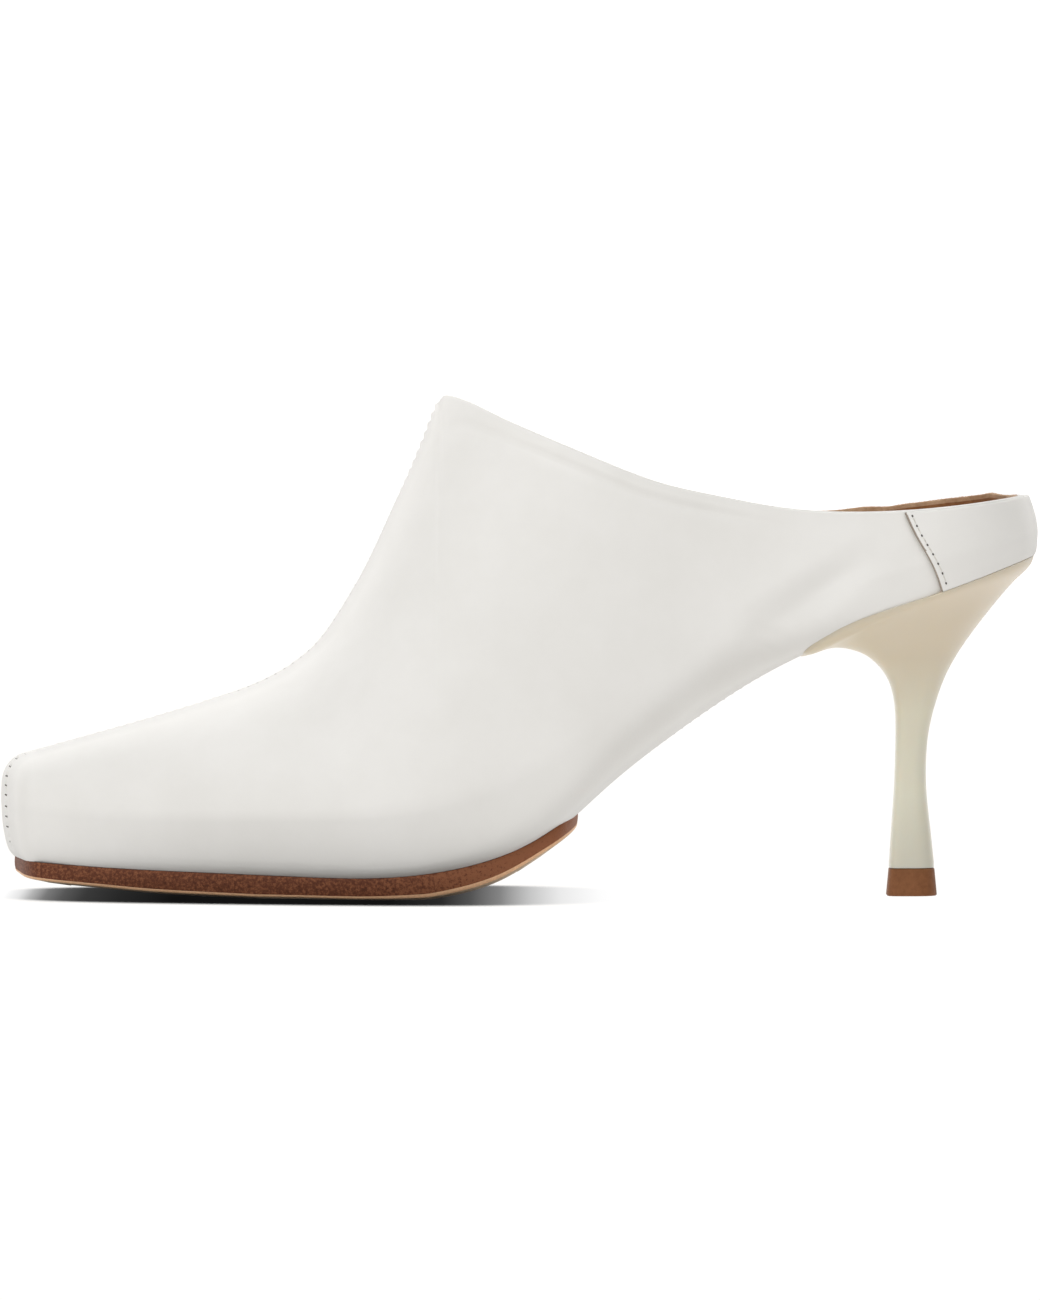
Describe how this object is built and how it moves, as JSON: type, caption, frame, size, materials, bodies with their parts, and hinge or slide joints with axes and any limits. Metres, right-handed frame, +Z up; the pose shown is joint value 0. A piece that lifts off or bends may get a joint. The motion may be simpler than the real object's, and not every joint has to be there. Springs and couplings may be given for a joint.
{
  "type": "heeled mule",
  "caption": "High-cut mule in smooth pale leather with a square toe, an open back with a low rim, a slim flared heel and a forefoot sole, for the left foot.",
  "frame": {"origin": "centre of the shoe's bounding box, on the floor", "axes": "+X from the toe to the heel, +Y towards the inner side of the foot, +Z up"},
  "size_m": [0.2397, 0.081, 0.1162],
  "materials": {
    "upper_leather": "smooth, soft sheen",
    "band_leather": "smooth, soft sheen",
    "sole_leather": "stained edge, natural underside",
    "insole_leather": "matt",
    "heel_plastic": "ivory, slightly translucent",
    "tip_rubber": "matt"
  },
  "bodies": {
    "root": {"upper": "upper_leather", "heel_band": "band_leather", "sole": "sole_leather", "insole": "insole_leather", "heel": "heel_plastic", "heel_tip": "tip_rubber"}
  },
  "joints": []
}
